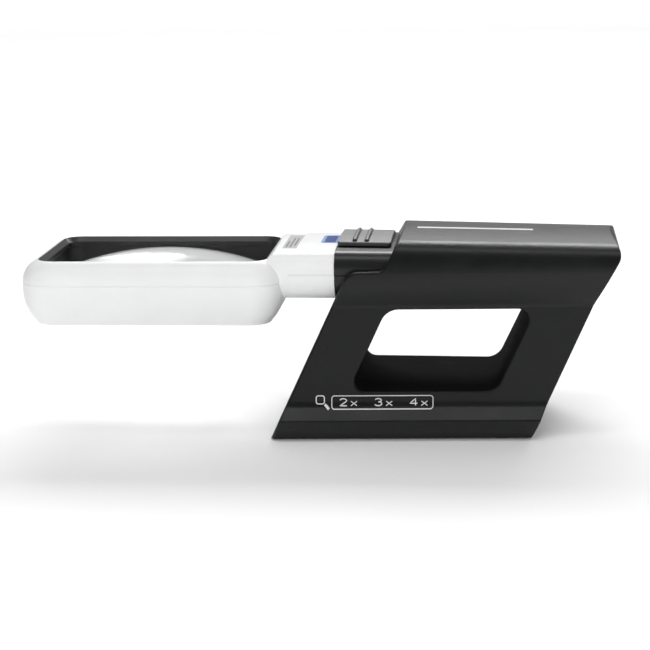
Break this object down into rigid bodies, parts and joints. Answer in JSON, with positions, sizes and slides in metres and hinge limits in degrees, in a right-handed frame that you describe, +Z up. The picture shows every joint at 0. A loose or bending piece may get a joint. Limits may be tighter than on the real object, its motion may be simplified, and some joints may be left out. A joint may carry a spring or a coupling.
{
  "type": "low vision magnifier",
  "caption": "Illuminated rectangular hand magnifier with a white lens head and black battery handle, parked in a slanted reading stand with a hand window.",
  "frame": {"origin": "middle of the bounding box in plan, on the surface that the foot pads stand on", "axes": "+X along the object from the lens head to the stand's tail, +Y across it, +Z up"},
  "size_m": [0.1983, 0.0682, 0.0662],
  "materials": {
    "white_shell": "satin-gloss moulded",
    "black_bezel": "fine matte moulded",
    "lens_acrylic": "polished clear",
    "black_handle": "satin moulded",
    "black_switch": "satin moulded",
    "badge_blue": "printed gloss",
    "stand_black": "fine satin moulded",
    "base_black": "fine matte moulded",
    "pad_rubber": "matte",
    "screw_steel": "zinc plated",
    "board_green": "solder-masked",
    "component": "moulded",
    "lamp": "phosphor-coated",
    "lamp_window": "polished clear",
    "tray_plastic": "moulded",
    "cell_sleeve": "printed sleeve",
    "contact_metal": "nickel plated",
    "lead_insulation": "satin"
  },
  "bodies": {
    "stand": {"stand_shell": "stand_black", "base_plate": "base_black", "base_screws": "screw_steel", "foot_pads": "pad_rubber"},
    "magnifier": {"head_upper_shell": "white_shell", "head_lower_shell": "white_shell", "neck_screws": "screw_steel", "neck_badge": "badge_blue", "lens_bezel": "black_bezel", "lens": "lens_acrylic", "led_board": "board_green", "led": "lamp", "led_window": "lamp_window", "handle_upper_shell": "black_handle", "switch_body": "component", "driver_board": "board_green", "driver_components": "component", "battery_tray": "tray_plastic", "tray_screws": "screw_steel", "battery_cell_1": "cell_sleeve", "battery_cell_2": "cell_sleeve", "battery_cell_3": "cell_sleeve", "contact_plates": "contact_metal", "contact_springs": "contact_metal", "lead_wires": "lead_insulation"},
    "switch": {"switch_slider": "black_switch"},
    "cover": {"battery_cover": "black_handle"}
  },
  "joints": [
    {"name": "magnifier_slide", "type": "slide", "parent": "stand", "child": "magnifier", "axis": [-1, 0, 0], "range_m": [0, 0.078]},
    {"name": "switch_slide", "type": "slide", "parent": "magnifier", "child": "switch", "axis": [1, 0, 0], "range_m": [0, 0.0012]},
    {"name": "cover_slide", "type": "slide", "parent": "magnifier", "child": "cover", "axis": [1, 0, 0], "range_m": [0, 0.008]}
  ]
}
